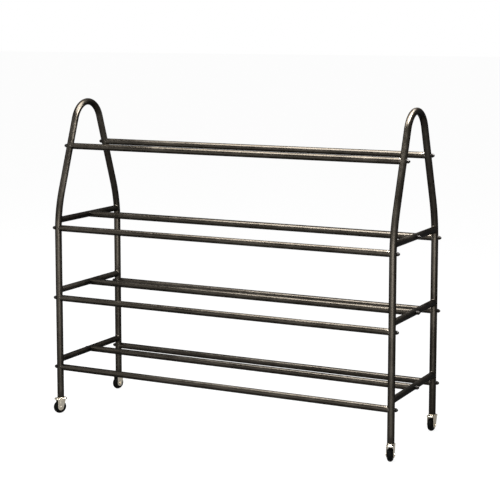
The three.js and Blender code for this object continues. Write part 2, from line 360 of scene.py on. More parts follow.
# A material from its look: uneven gloss over two tones, dust where the look has any, and a third
# colour where it has rubbed through, all on a slightly uneven skin.
def makeFinish(look):
    material = bpy.data.materials.new(look["name"])
    material.use_nodes = True
    tree = material.node_tree
    tree.nodes.clear()
    shader = addNode(tree, "ShaderNodeBsdfPrincipled", values=look["shader"])
    output = tree.nodes.new("ShaderNodeOutputMaterial")
    tree.links.new(shader.outputs["BSDF"], output.inputs["Surface"])
    sources = {
        "Vector": tree.nodes.new("ShaderNodeTexCoord").outputs["Object"],
        "Wear": addNode(tree, "ShaderNodeAttribute", {"attribute_name": "wear"}).outputs["Fac"],
    }
    gloss = addEffect(tree, "smudge", look, sources)
    rubbed = addEffect(tree, "rubbed", look, sources)["Mask"]
    colour = addMix(tree, "RGBA", gloss["Mask"], look["deep"], look["lighter"])
    roughness = gloss["Value"]
    if "dusted" in look:
        dust = addEffect(tree, "dusted", look, sources)["Mask"]
        colour = addMix(tree, "RGBA", dust, colour, look["dust"])
        roughness = addMix(tree, "FLOAT", dust, roughness, look["dustRoughness"])
    colour = addMix(tree, "RGBA", rubbed, colour, look["bare"])
    roughness = addMix(tree, "FLOAT", rubbed, roughness, look["bareRoughness"])
    tree.links.new(colour, shader.inputs["Base Color"])
    tree.links.new(roughness, shader.inputs["Roughness"])
    if "metallic" in look:
        metallic = addMix(tree, "FLOAT", rubbed, look["metallic"], look["bareMetallic"])
        tree.links.new(metallic, shader.inputs["Metallic"])
    bump = addNode(tree, "ShaderNodeBump", values=look["bump"])
    tree.links.new(addEffect(tree, "skin", look, sources)["Height"], bump.inputs["Height"])
    tree.links.new(bump.outputs["Normal"], shader.inputs["Normal"])
    return material


# Frame: nearly black brown metallic enamel, slightly waved, rubbed thin where parts meet.
coatLook = {
    "name": "espressoEnamel",
    "shader": {"IOR": 1.5, "Specular IOR Level": 0.2, "Specular Tint": (0, 0, 0, 1)},
    "deep": (0.0135, 0.0118, 0.0095, 1),
    "lighter": (0.0215, 0.0190, 0.0156, 1),
    "bare": (0.20, 0.185, 0.16, 1),
    "dust": (0.16, 0.14, 0.12, 1),
    "metallic": 0.9,
    "bareMetallic": 0.85,
    "bareRoughness": 0.42,
    "dustRoughness": 0.75,
    "smudge": {"Scale": 7.0, "Low": 0.27, "High": 0.39},
    "rubbed": {"Amount": 0.42, "Scale": 420.0},
    "dusted": {"Amount": 0.05, "Scale": 45.0},
    "skin": {"Wave Scale": 330.0, "Grain Scale": 2400.0, "Grain Share": 0.22},
    "bump": {"Strength": 0.16, "Distance": 0.0006},
}

# Bolts: black plated steel, satin, with brighter rubbed corners.
boltLook = {
    "name": "blackPlate",
    "shader": {"IOR": 1.5, "Specular IOR Level": 0.2, "Specular Tint": (0.1, 0.1, 0.1, 1)},
    "deep": (0.008, 0.0075, 0.0070, 1),
    "lighter": (0.016, 0.014, 0.012, 1),
    "bare": (0.20, 0.185, 0.17, 1),
    "metallic": 0.35,
    "bareMetallic": 0.95,
    "bareRoughness": 0.36,
    "smudge": {"Scale": 60.0, "Low": 0.26, "High": 0.46},
    "rubbed": {"Amount": 0.40, "Scale": 700.0},
    "skin": {"Wave Scale": 900.0, "Grain Scale": 5200.0, "Grain Share": 0.6},
    "bump": {"Strength": 0.18, "Distance": 0.0002},
}

# Casters: bright zinc plate with faint clouding and duller rubbed edges.
zincLook = {
    "name": "brightZinc",
    "shader": {"IOR": 1.5, "Specular Tint": (0.6, 0.58, 0.55, 1)},
    "deep": (0.32, 0.297, 0.252, 1),
    "lighter": (0.23, 0.205, 0.160, 1),
    "bare": (0.15, 0.135, 0.11, 1),
    "metallic": 1.0,
    "bareMetallic": 0.8,
    "bareRoughness": 0.5,
    "smudge": {"Scale": 38.0, "Low": 0.14, "High": 0.34},
    "rubbed": {"Amount": 0.40, "Scale": 520.0},
    "skin": {"Wave Scale": 260.0, "Grain Scale": 3800.0, "Grain Share": 0.25},
    "bump": {"Strength": 0.12, "Distance": 0.0004},
}

# Tyres: matte black rubber, greyer where the tread has rolled.
rubberLook = {
    "name": "blackRubber",
    "shader": {"IOR": 1.5, "Specular IOR Level": 0.02},
    "deep": (0.0016, 0.0016, 0.0014, 1),
    "lighter": (0.0045, 0.0043, 0.0036, 1),
    "bare": (0.024, 0.023, 0.020, 1),
    "bareRoughness": 0.85,
    "smudge": {"Scale": 55.0, "Low": 0.52, "High": 0.74},
    "rubbed": {"Amount": 0.45, "Scale": 620.0},
    "skin": {"Wave Scale": 700.0, "Grain Scale": 3600.0, "Grain Share": 0.9},
    "bump": {"Strength": 0.25, "Distance": 0.0003},
}

# Wheel centres: black moulded nylon, a little glossier than the tyre.
nylonLook = {
    "name": "blackNylon",
    "shader": {"IOR": 1.5, "Specular IOR Level": 0.12},
    "deep": (0.005, 0.005, 0.005, 1),
    "lighter": (0.014, 0.014, 0.013, 1),
    "bare": (0.05, 0.05, 0.048, 1),
    "bareRoughness": 0.65,
    "smudge": {"Scale": 70.0, "Low": 0.34, "High": 0.5},
    "rubbed": {"Amount": 0.34, "Scale": 800.0},
    "skin": {"Wave Scale": 1100.0, "Grain Scale": 5200.0, "Grain Share": 0.7},
    "bump": {"Strength": 0.15, "Distance": 0.0002},
}

coat = makeFinish(coatLook)
boltBlack = makeFinish(boltLook)
zinc = makeFinish(zincLook)
rubber = makeFinish(rubberLook)
nylon = makeFinish(nylonLook)
print("materials:", ", ".join(material.name for material in bpy.data.materials))


# Hoops.

# How far along a rounded lip its rings lie. Read backwards, how far each is cut back.
lipShares = np.array([0, 0.3, 1])

hoopShape = {
    "wall": 1.5 * mm,
    "bendStart": 712 * mm,  # height where the straight legs end
    "bendRadius": 465 * mm,
    "lean": math.radians(19.8),
    "crownRadius": 91 * mm,
    "crownFlattening": 0.022,  # share of its depth that the tube loses in the crown bend
    "columns": 40,
    "straightStep": 24 * mm,
    "bendStep": 11 * mm,
    "crownStep": 4 * mm,
    "traced": 60001,  # points of the centre line
    "lip": 0.4 * mm,
    "footFade": 3 * mm,  # the wear's fall with the distance from a foot
    "seatReach": 8.5 * mm,  # full wear round the middle of a seat, and its fall beyond
    "seatFade": 2.5 * mm,
}

hoopBox = {side: boxOf(f"hoop_{side}") for side in sides}
tubeRadius = (hoopBox["left"][1][0] - hoopBox["left"][0][0]) / 2
hoopPlane = {side: (low[0] + high[0]) / 2 for side, (low, high) in hoopBox.items()}
middleX = (hoopPlane["left"] + hoopPlane["right"]) / 2
hoopReach = (hoopPlane["right"] - hoopPlane["left"]) / 2
middleY = (hoopBox["left"][0][1] + hoopBox["left"][1][1]) / 2
legReach = (hoopBox["left"][1][1] - hoopBox["left"][0][1]) / 2 - tubeRadius
legFoot = hoopBox["left"][0][2]


# Centre line from foot to foot. Its direction turns evenly along each bend, and its places are
# the running sums of that direction's sine, inwards, and cosine, upwards.
def traceHoop():
    lean = hoopShape["lean"]
    bendRadius = hoopShape["bendRadius"]
    crownRadius = hoopShape["crownRadius"]
    leaningReach = legReach - bendRadius * (1 - math.cos(lean)) - crownRadius * math.cos(lean)
    runs = [
        hoopShape["bendStart"] - legFoot,
        bendRadius * lean,
        leaningReach / math.sin(lean),
        crownRadius * (math.pi / 2 - lean),
    ]
    knots = np.cumsum([0] + runs + runs[::-1])
    turns = [0, 0, lean, lean, math.pi / 2, math.pi - lean, math.pi - lean, math.pi, math.pi]
    along = np.linspace(0, knots[-1], hoopShape["traced"])
    turn = np.interp(along, knots, turns)
    step = along[1]
    inward = np.concatenate([[0], np.cumsum((np.sin(turn[1:]) + np.sin(turn[:-1])) * step / 2)])
    upward = np.concatenate([[0], np.cumsum((np.cos(turn[1:]) + np.cos(turn[:-1])) * step / 2)])
    return {
        "knots": knots,
        "along": along,
        "turn": turn,
        "offset": legReach - inward,
        "height": legFoot + upward,
    }


hoopLine = traceHoop()
halfWay = len(hoopLine["along"]) // 2


# Distance of a leg's centre line from the middle plane, and its lean, at a height.
def legOffset(height):
    return np.interp(height, hoopLine["height"][:halfWay], hoopLine["offset"][:halfWay])


def legLean(height):
    return np.interp(height, hoopLine["height"][:halfWay], hoopLine["turn"][:halfWay])


# Rows along the hoop: close together in the crown, further apart in the long bends and legs.
def hoopRows():
    steps = [hoopShape[key] for key in ("straightStep", "bendStep", "straightStep", "crownStep")]
    steps = steps + steps[::-1]
    knots = hoopLine["knots"]
    stretches = [
        np.linspace(start, end, max(int((end - start) / step), 2), endpoint=False)
        for start, end, step in zip(knots[:-1], knots[1:], steps)
    ]
    return np.concatenate(stretches)[1:]


# Wear near points on a surface: full within the inner radius, fading out over the given width.
def wearNear(points, centres, inner, width):
    distance = np.min([np.linalg.norm(points - centre, axis=-1) for centre in centres], axis=0)
    return np.exp(-np.clip(distance - inner, 0, None) / width)


# A hoop is a ring carried along the centre line, over the outside one way and back through the
# bore, with rounded lips at both feet. The ring is a little flatter in the crown bend.
def hoopShell(side, seats):
    length = hoopLine["along"][-1]
    lip = lipShares * hoopShape["lip"]
    inner = hoopRows()
    along = np.concatenate([lip, inner, length - lip[::-1]])
    cutBack = np.concatenate([lip[::-1], np.zeros(len(inner)), lip])
    place = thereAndBack(along)
    radius = np.concatenate([tubeRadius - cutBack, tubeRadius - hoopShape["wall"] + cutBack[::-1]])

    turn = np.interp(place, hoopLine["along"], hoopLine["turn"])
    offset = np.interp(place, hoopLine["along"], hoopLine["offset"])
    height = np.interp(place, hoopLine["along"], hoopLine["height"])
    lean = hoopShape["lean"]
    crownShare = np.clip((turn - lean) / (math.pi - 2 * lean), 0, 1)
    flattening = hoopShape["crownFlattening"] * np.sin(math.pi * crownShare) ** 2

    angle = anglesRound(hoopShape["columns"])
    sideways = (radius * (1 + flattening / 2))[:, None] * np.cos(angle)
    outwards = (radius * (1 - flattening))[:, None] * np.sin(angle)
    points = np.stack(
        [
            hoopPlane[side] + sideways,
            middleY - offset[:, None] - outwards * np.cos(turn)[:, None],
            height[:, None] + outwards * np.sin(turn)[:, None],
        ],
        axis=-1,
    )
    feet = np.exp(-np.minimum(place, length - place) / hoopShape["footFade"])[:, None]
    wear = np.maximum(wearNear(points, seats, hoopShape["seatReach"], hoopShape["seatFade"]), feet)
    return shellOf(points, wear, wrapRows=True)


railNodes = sorted(node for node in frame["nodes"] if node.startswith("rail_"))
crossbarNodes = sorted(node for node in frame["nodes"] if node.startswith("crossbar_"))


# Middle and radius of a level bar, from its node's box.
def sectionOf(node):
    low, high = boxOf(node)
    return (low + high) / 2, (high[2] - low[2]) / 2


# Where the rails and bolts press on a hoop: on its inner and outer sides at every rail's height.
def seatsOn(side):
    centres = [sectionOf(node)[0] for node in railNodes if not node.endswith("middle")]
    return [(hoopPlane[side] + way * tubeRadius, y, z) for _, y, z in centres for way in (-1, 1)]


for side in sides:
    makePiece(f"hoop_{side}", [hoopShell(side, seatsOn(side))], [coat], "frame")
print(f"hoops: {len(sides)} bent tubes")


# Straight bars with ends shaped to the tubes that they meet.

barShape = {
    "columns": 36,
    "rows": 60,
    "lip": 0.4 * mm,
    "contactGap": 0.1 * mm,
    "wearReach": 0.5 * mm,
    "wearFade": 2.2 * mm,
}
barAxes = {"alongX": np.eye(3), "alongY": np.eye(3)[[1, 0, 2]]}  # along, across and above a bar


# A bar between two saddles. Each row has a radius, a share of the bar's reach and a set-back for
# the rounded lip. A point lies at its row's share of the reach at its own place in the section.
def saddledBar(centre, axes, radius, reachAt):
    lip = barShape["lip"] * lipShares
    endRadii = np.concatenate([[0, radius / 2], radius - lip[::-1]])
    endBacks = np.concatenate([[0, 0], lip])
    ends = np.ones(len(endRadii))
    bodyShare = np.linspace(-1, 1, barShape["rows"])[1:-1]
    rowRadius = np.concatenate([endRadii, np.full(len(bodyShare), radius), endRadii[::-1]])
    share = np.concatenate([-ends, bodyShare, ends])
    setBack = np.concatenate([endBacks, np.zeros(len(bodyShare)), -endBacks[::-1]])

    angle = anglesRound(barShape["columns"])
    across = rowRadius[:, None] * np.cos(angle)
    upwards = rowRadius[:, None] * np.sin(angle)
    reach = reachAt(across, upwards)
    along = share[:, None] * reach + setBack[:, None]
    points = placed(np.stack([along, across, upwards], axis=-1), centre, axes)
    fromEnd = reach - np.abs(along)
    wear = np.exp(-np.clip(fromEnd - barShape["wearReach"], 0, None) / barShape["wearFade"])
    return shellOf(points, wear)


# Weld bead round a crossbar's end: a low arch from the bar's surface to the leg's, bulging over
# the corner between them, with ripples along it. It closes through the metal underneath.
weld = {
    "leg": 3.0 * mm,
    "bulge": 1.1 * mm,
    "underShare": 0.6,  # depth of the bead's underside, to its bulge
    "ripples": 34,
    "ripple": 0.22,
    "perRipple": 6,
    "arch": 8,
    "wear": 0.12,
}


def weldShell(centre, radius, way):
    angle = anglesRound(weld["ripples"] * weld["perRipple"])
    ripple = 1 + weld["ripple"] * np.cos(weld["ripples"] * angle)
    barX = radius * np.cos(angle)
    barZ = radius * np.sin(angle)

    # Point on the leg's surface at an angle round its axis and at a height.
    def onLeg(turnRound, height):
        level = centre[2] + height
        reach = legOffset(level) - tubeRadius * np.cos(turnRound) / np.cos(legLean(level))
        return np.stack([tubeRadius * np.sin(turnRound), reach, height], axis=-1)

    roundLeg = np.arcsin(np.clip(barX / tubeRadius, -1, 1))
    corner = onLeg(roundLeg, barZ)
    legSide = onLeg(roundLeg + weld["leg"] / tubeRadius * np.cos(angle), barZ + weld["leg"] * np.sin(angle))
    barSide = corner - np.array([0, weld["leg"], 0])
    chord = (legSide + barSide) / 2
    outward = chord - corner
    outward = outward / np.linalg.norm(outward, axis=-1, keepdims=True)
    top = chord + outward * (weld["bulge"] * ripple)[:, None]
    under = corner - outward * weld["bulge"] * weld["underShare"]

    share = np.linspace(0, 1, weld["arch"])[:, None, None]
    arch = (1 - share) ** 2 * barSide + 2 * share * (1 - share) * top + share**2 * legSide
    local = np.concatenate([arch, under[None]])
    local[..., 1] *= way
    return shellOf(local + np.array([centre[0], middleY, centre[2]]), weld["wear"], wrapRows=True)


# A bar between the two legs of a hoop, with a weld bead round each end.
def makeCrossbar(node):
    centre, radius = sectionOf(node)
    centre[1] = middleY

    # Reach to the leg's near surface, over the height of its round section.
    def reachToLeg(across, upwards):
        height = centre[2] + upwards
        return legOffset(height) - roundHeight(tubeRadius, across) / np.cos(legLean(height))

    shells = [saddledBar(centre, barAxes["alongY"], radius, reachToLeg)]
    shells += [weldShell(centre, radius, way) for way in (-1, 1)]
    makePiece(node, shells, [coat], "frame")


crossbarRadius = sectionOf(crossbarNodes[0])[1]


# A middle rail presses on the crossbars, whose sections are round across their height. The others
# press on the legs, which are round across their own leaning axes.
def makeRail(node):
    centre, radius = sectionOf(node)
    centre[0] = middleX
    row = rows[node.split("_")[-1]]
    lean = float(legLean(centre[2]))
    seatRadius = (tubeRadius if row else crossbarRadius) + barShape["contactGap"]

    def reachToSeat(across, upwards):
        aside = -row * across * math.cos(lean) - upwards * math.sin(lean) if row else upwards
        return hoopReach - roundHeight(seatRadius, aside)

    shells = [saddledBar(centre, barAxes["alongX"], radius, reachToSeat)]
    makePiece(node, shells, [coat], "frame")


for node in crossbarNodes:
    makeCrossbar(node)
for node in railNodes:
    makeRail(node)
print(f"bars: {len(crossbarNodes)} welded crossbars and {len(railNodes)} rails")


# Bolts.

boltShape = {
    "headHeight": 12.3 * mm,
    "flangeRadius": 7.5 * mm,
    "flangeHeight": 1.8 * mm,
    "flangeChamfer": 0.7 * mm,
    "flangeSoftness": 0.35 * mm,
    "acrossFlats": 13 * mm,
    "hexTop": 6.8 * mm,
    "hexFoot": 0.1 * mm,
    "hexChamfer": 1.0 * mm,
    "hexSoftness": 0.25 * mm,
    "hexWear": 0.8,
    "plainWear": 0.15,
    "flangeWear": 0.3,
    "domeRadius": 5.5 * mm,
    "domeSteps": 12,
    "saddleBore": 4.4 * mm,
    "saddleEdge": 0.3 * mm,
    "saddleLift": 0.05 * mm,
    "saddleWear": 0.25,
    "columns": 60,
}
hexagonPower = 36  # of the power means: the higher, the sharper the corners
cornerWearPower = 14


# Radius of a hexagon with softened corners: half the width across flats over the power mean of
# the cosines to its three pairs of flats.
def hexRadius(acrossFlats, columns):
    angle = anglesRound(columns)
    cosines = [np.abs(np.cos(angle - k * math.pi / 3)) ** hexagonPower for k in range(3)]
    return acrossFlats / 2 / sum(cosines) ** (1 / hexagonPower)


# Hexagon between chamfers: the smaller of the hexagon's radius and the turned outline's, blended
# where they cross. The wear of each row is full at the hexagon's corners.
def hexShell(outline, acrossFlats, origin, axes, columns, rowWear):
    hexagon = hexRadius(acrossFlats, columns)
    radius = outline[:, :1]
    safe = np.maximum(radius, nearZero)
    soft = (safe**-hexagonPower + hexagon**-hexagonPower) ** (-1 / hexagonPower)
    points = turnedPoints(np.where(radius < nearZero, 0, soft), outline[:, 1:], columns)
    wear = np.reshape(rowWear, (-1, 1)) * (hexagon / hexagon.max()) ** cornerWearPower
    return shellOf(placed(points, origin, axes), wear)


# Saddle washer: flat on top, its underside following the tube that it sits on, so that it is
# thickest at both sides. Three rings of points on top and three below make its section.
def saddleShell(origin, axes, tubeSeat, gap):
    flange = boltShape["flangeRadius"]
    edge = boltShape["saddleEdge"]
    rings = np.array([boltShape["saddleBore"], flange - edge, flange])[:, None]
    across = rings * np.sin(anglesRound(boltShape["columns"]))
    top = np.zeros_like(across) + np.array([0, 0, -edge])[:, None]
    under = -gap - (tubeSeat - roundHeight(tubeSeat, across)) + boltShape["saddleLift"]
    height = np.concatenate([top, under[::-1]])
    points = turnedPoints(thereAndBack(rings), height, boltShape["columns"])
    return shellOf(placed(points, origin, axes), boltShape["saddleWear"], wrapRows=True)


# Domed bolt head along its axis, on its saddle washer: flange, chamfered hexagon and cap.
def boltShells(origin, axes, tubeSeat, gap):
    flange = boltShape["flangeRadius"]
    rise = boltShape["flangeHeight"]
    hexTop = boltShape["hexTop"]
    dome = boltShape["domeRadius"]
    columns = boltShape["columns"]
    bevel = flange - boltShape["flangeChamfer"]
    flangeCorners = [(0, 0), (flange, 0), (flange, rise * 0.55), (bevel, rise), (0, rise)]
    flangeOutline = softenOutline(flangeCorners, boltShape["flangeSoftness"])
    corner = boltShape["acrossFlats"] / math.sqrt(3)
    chamfer = boltShape["hexChamfer"]
    hexCorners = [
        (0, rise * 0.8),
        (corner * 0.88, rise * 0.8),
        (corner * 0.88, rise + boltShape["hexFoot"]),
        (corner * 1.04, rise + chamfer),
        (corner * 1.04, hexTop - chamfer),
        (corner * 0.86, hexTop),
        (dome, hexTop),
    ]
    hexPart = softenOutline(hexCorners, boltShape["hexSoftness"], steps=3)
    turnUp = np.linspace(0, math.pi / 2, boltShape["domeSteps"])
    capPart = np.stack([dome * np.cos(turnUp), hexTop + dome * np.sin(turnUp)], axis=-1)
    outline = np.concatenate([hexPart, capPart[1:]])
    outline[-1, 0] = 0
    onHexagon = (outline[:, 1] > rise) & (outline[:, 1] <= hexTop)
    rowWear = np.where(onHexagon, boltShape["hexWear"], boltShape["plainWear"])
    return [
        saddleShell(origin, axes, tubeSeat, gap),
        turnedShell(flangeOutline, origin, axes, columns, boltShape["flangeWear"]),
        hexShell(outline, boltShape["acrossFlats"], origin, axes, columns, rowWear),
    ]


# Each bolt points outwards from its tube. The saddle curves across the tube, so the local X axis
# lies along it and the local Y axis across it.
def makeBolt(node):
    low, high = boxOf(node)
    row, side = node.split("_")[2:]
    way = sides[side]
    seat = (high if way > 0 else low)[0] - way * boltShape["headHeight"]
    origin = (low + high) / 2
    origin[0] = seat
    lean = float(legLean(origin[2]))
    tubeSeat = tubeRadius
    lengthwise = np.array([0, -rows[row] * math.sin(lean), math.cos(lean)])
    if row == "middle":
        tubeSeat = crossbarRadius
        lengthwise = np.array([0, 1.0, 0])
    gap = abs(seat - hoopPlane[side]) - tubeSeat
    outward = np.array([way, 0, 0])
    axes = np.array([lengthwise, np.cross(outward, lengthwise), outward])
    makePiece(node, boltShells(origin, axes, tubeSeat, gap), [boltBlack], "frame")


boltNodes = sorted(node for node in frame["nodes"] if node.startswith("bolt_"))
for node in boltNodes:
    makeBolt(node)
print(f"bolts: {len(boltNodes)} domed heads")


# Casters.

# A list of pairs, here and for the wheel, holds points of an outline: millimetres inwards and upwards
# from one of its corners.
caster = {
    "columns": 64,
    "flangeThickness": 3.0 * mm,
    "flangeRadius": 14.0 * mm,
    "flangeFoot": [(0.9, 0), (0, 0.9)],
    "flangeFace": [(0, -0.6), (0.6, 0)],
    "flangeSoftness": 0.6 * mm,
    "boreRadius": 5.4 * mm,
    "sleeveRadius": 10.9 * mm,
    "swivelGap": 0.5 * mm,  # between the crown and the collar
    "crownReach": 24.5 * mm,  # from the swivel's axis to the crown's round ends
    "crownThickness": 6.0 * mm,
    "crownFoot": [(2.4, 0), (0.5, 0.6), (0, 2.2)],
    "crownFace": [(0, -1.1), (1.1, 0), (3.0, 0), (3.6, -0.7), (5.2, -0.7), (5.8, 0)],  # with a groove
    "crownSoftness": 0.7 * mm,
    "crownEdge": 6 * mm,  # width of the rim in which the cut keeps step with the rows
    "crownPower": 14,
    "stemRadius": 5.0 * mm,
    "stemHeadRadius": 7.0 * mm,
    "stemHeadHeight": 3.0 * mm,
    "rimWear": 0.5,
    "flangeWearWidth": 0.5 * mm,
    "crownWearWidth": 0.6 * mm,
    "plainWear": 0.1,
}
fork = {
    "plate": 2.2 * mm,
    "insideWidth": 23.0 * mm,
    "bendRadius": 2.6 * mm,
    "topHalfWidth": 15.5 * mm,
    "endRadius": 11.5 * mm,
    "rib": 0.5 * mm,
    "ribHalfWidth": 4.2 * mm,
    "ribHalfLength": 8 * mm,
    "ribRaise": 4 * mm,  # of its middle, over the middle between the axle and the crown
    "boss": 0.3 * mm,
    "bossRadius": 7.4 * mm,
    "roundSteps": 14,
    "sideSteps": 26,
    "bendSteps": 9,
    "acrossSteps": 25,
    "edgeSteps": 5,
    "plainWear": 0.12,
    "edgeWear": 0.5,
}
axle = {
    "radius": 3.0 * mm,
    "softness": 0.4 * mm,
    "acrossFlats": 9.6 * mm,
    "headHeight": 3.0 * mm,
    "headSoftness": 0.25 * mm,
    "chamfer": 0.9 * mm,
    "edge": 0.25 * mm,
    "nutShare": 0.72,  # of the head's height
    "nutChamfer": 0.5 * mm,
    "sunk": 0.1 * mm,
    "gap": 0.3 * mm,
    "columns": 32,
    "headColumns": 48,
    "headWear": 0.6,
}
forkHalf = fork["insideWidth"] / 2 + fork["plate"]


# Collar under the leg: a low ring with rounded rims, and its sleeve in the tube.
def collarShell(origin, bottom, top):
    rim = caster["flangeRadius"]
    bore = caster["boreRadius"]
    sleeve = caster["sleeveRadius"]
    face = bottom + caster["flangeThickness"]
    corners = [
        (bore, bottom),
        *offCorner(rim, bottom, caster["flangeFoot"]),
        *offCorner(rim, face, caster["flangeFace"]),
        (sleeve, face),
        (sleeve, top),
        (bore, top),
        (bore, bottom),
    ]
    outline = softenOutline(corners, caster["flangeSoftness"])
    onRim = outline[:, 0] > rim - caster["flangeWearWidth"]
    wear = np.where(onRim, caster["rimWear"], caster["plainWear"])
    return turnedShell(outline, origin, np.eye(3), caster["columns"], wear, wrapRows=True)


# Crown of the fork, with the stem that turns in the sleeve. Each row is a circle of its own radius
# whose sides are cut off flush with the cheeks: the power mean of the circle's radius and of the
# distance to the cut. The cut follows the edge inwards row by row, and leaves the stem round.
def crownShell(origin, axes, bottom, top):
    rim = caster["crownReach"]
    stem = caster["stemRadius"]
    head = caster["stemHeadRadius"]
    face = bottom + caster["crownThickness"]
    underHead = top - caster["stemHeadHeight"]
    corners = [
        (0, bottom),
        *offCorner(rim, bottom, caster["crownFoot"]),
        *offCorner(rim, face, caster["crownFace"]),
        (stem, face),
        (stem, underHead),
        (head, underHead),
        (head, top),
        (0, top),
    ]
    outline = softenOutline(corners, caster["crownSoftness"])
    radius = outline[:, :1]
    edge = caster["crownEdge"]
    limit = np.interp(radius, [0, head, rim - edge, rim], [0, head, forkHalf - edge, forkHalf])
    sine = np.abs(np.sin(anglesRound(caster["columns"])))
    cut = np.maximum(limit, nearZero) / np.maximum(sine, nearZero)
    power = caster["crownPower"]
    soft = (np.maximum(radius, nearZero) ** -power + cut**-power) ** (-1 / power)
    points = turnedPoints(np.where(radius == 0, 0, soft), outline[:, 1:], caster["columns"])
    onRim = radius > rim - caster["crownWearWidth"]
    return shellOf(placed(points, origin, axes), np.where(onRim, caster["rimWear"], caster["plainWear"]))


# Left and right edges of a cheek at a height: straight from the crown to the level of the axle,
# and round about the axle below it.
def cheekEdges(height, axleHeight, crownHeight, trail):
    half = fork["topHalfWidth"]
    end = fork["endRadius"]
    share = np.clip((height - axleHeight) / (crownHeight - axleHeight), 0, 1)
    middle = (1 - share) * trail
    straightHalf = (1 - share) * end + share * half
    roundHalf = roundHeight(end, np.minimum(height - axleHeight, 0))
    halfWidth = np.where(height >= axleHeight, straightHalf, roundHalf)
    return middle - halfWidth, middle + halfWidth


# Rows of the strap, in its middle plane: up one cheek, over a bend to the crown's middle, and the
# mirror image of it down the other. Each has its place and how far its outer face has turned up.
def strapRows(axleHeight, topHeight):
    bend = fork["bendRadius"]
    wallY = (fork["insideWidth"] + fork["plate"]) / 2
    endTurn = np.linspace(math.pi / 2, 0, fork["roundSteps"])
    roundPart = axleHeight - fork["endRadius"] * np.sin(endTurn)
    straightPart = np.linspace(axleHeight, topHeight - bend, fork["sideSteps"])[1:]
    bendTurn = np.linspace(0, math.pi / 2, fork["bendSteps"])[1:]
    level = np.zeros(len(roundPart) + len(straightPart))
    sideY = np.concatenate([level + wallY, wallY - bend + bend * np.cos(bendTurn)])
    sideZ = np.concatenate([roundPart, straightPart, topHeight - bend + bend * np.sin(bendTurn)])
    sideTurn = np.concatenate([level, bendTurn])
    rowY = np.concatenate([sideY, [0], -sideY[::-1]])
    rowZ = np.concatenate([sideZ, [topHeight], sideZ[::-1]])
    rowTurn = np.concatenate([sideTurn, [math.pi / 2], math.pi - sideTurn[::-1]])
    return rowY[:, None], rowZ[:, None], rowTurn[:, None]


# Section of the strap: across the outer face, round an edge, back across the inner face and round
# the other edge. Each point has its shares of the flat's half width, of the edge's reach beyond
# the flat, and of half the plate's thickness.
def strapSection():
    flat = np.linspace(-1, 1, fork["acrossSteps"])
    still = np.zeros_like(flat)
    edgeTurn = np.linspace(-math.pi / 2, math.pi / 2, fork["edgeSteps"] + 2)[1:-1]
    edge = np.ones_like(edgeTurn)
    flatShare = np.concatenate([flat, edge, flat[::-1], -edge])
    edgeShare = np.concatenate([still, np.cos(edgeTurn), still, -np.cos(edgeTurn)])
    depthShare = np.concatenate([still + 1, np.sin(-edgeTurn), still - 1, np.sin(edgeTurn)])
    return flatShare, edgeShare, depthShare


# The fork's strap: its section carried along its rows. Its width follows the cheeks' edges, and a
# shallow rib and the axle's boss are pressed outwards, both bell curves of the distance from their
# middle.
def strapShell(origin, axes, axleHeight, crownHeight, trail):
    plate = fork["plate"]
    rowY, rowZ, rowTurn = strapRows(axleHeight, crownHeight + caster["crownThickness"] - plate)
    flatShare, edgeShare, depthShare = strapSection()
    left, right = cheekEdges(np.minimum(rowZ, crownHeight), axleHeight, crownHeight, trail)

    # Both ends of the strap close in one point each.
    left[[0, -1]] = trail
    right[[0, -1]] = trail
    middle = (left + right) / 2
    half = (right - left) / 2
    edgeReach = np.minimum(plate / 2, half)
    across = middle + (half - edgeReach) * flatShare + edgeReach * edgeShare

    ribMiddle = (axleHeight + crownHeight) / 2 + fork["ribRaise"]
    fromRib = (across - middle) / fork["ribHalfWidth"]
    fromRibMiddle = (rowZ - ribMiddle) / fork["ribHalfLength"]
    rib = fork["rib"] * np.exp(-(fromRib**4)) * np.exp(-(fromRibMiddle**4))
    fromAxle = np.hypot(across - trail, rowZ - axleHeight) / fork["bossRadius"]
    boss = fork["boss"] * np.exp(-(fromAxle**8))
    onCheek = np.sin(rowTurn) < nearZero
    away = depthShare * plate / 2 + np.maximum(rib, boss) * onCheek
    y = rowY + away * np.cos(rowTurn)
    z = rowZ + away * np.sin(rowTurn)
    wear = fork["plainWear"] + fork["edgeWear"] * (edgeShare != 0)
    return shellOf(placed(np.stack([across, y, z], axis=-1), origin, axes), wear)


# Axle: hexagon head, plain shank, and a hexagon nut with the shank's end standing out of it.
def axleShells(origin, axes):
    across = axle["acrossFlats"]
    corner = across / math.sqrt(3)
    seat = forkHalf + axle["gap"]
    end = seat + axle["headHeight"]
    nutEnd = seat + axle["headHeight"] * axle["nutShare"]
    shankCorners = [(0, -end), (axle["radius"], -end), (axle["radius"], end), (0, end)]
    shankOutline = softenOutline(shankCorners, axle["softness"])
    shells = [turnedShell(shankOutline, origin, axes, axle["columns"], caster["plainWear"])]
    headCorners = [
        (0, seat - axle["sunk"]),
        (corner * 1.02, seat - axle["sunk"]),
        (corner * 1.02, end - axle["chamfer"]),
        (corner * 0.86, end - axle["edge"]),
        (corner * 0.45, end),
        (0, end),
    ]
    nutCorners = [
        (0, axle["sunk"] - seat),
        (corner * 1.02, axle["sunk"] - seat),
        (corner * 1.02, axle["nutChamfer"] - nutEnd),
        (corner * 0.85, -nutEnd),
        (0, -nutEnd),
    ]
    for corners in (headCorners, nutCorners):
        outline = softenOutline(corners, axle["headSoftness"], steps=3)
        shells.append(hexShell(outline, across, origin, axes, axle["headColumns"], axle["headWear"]))
    return shells


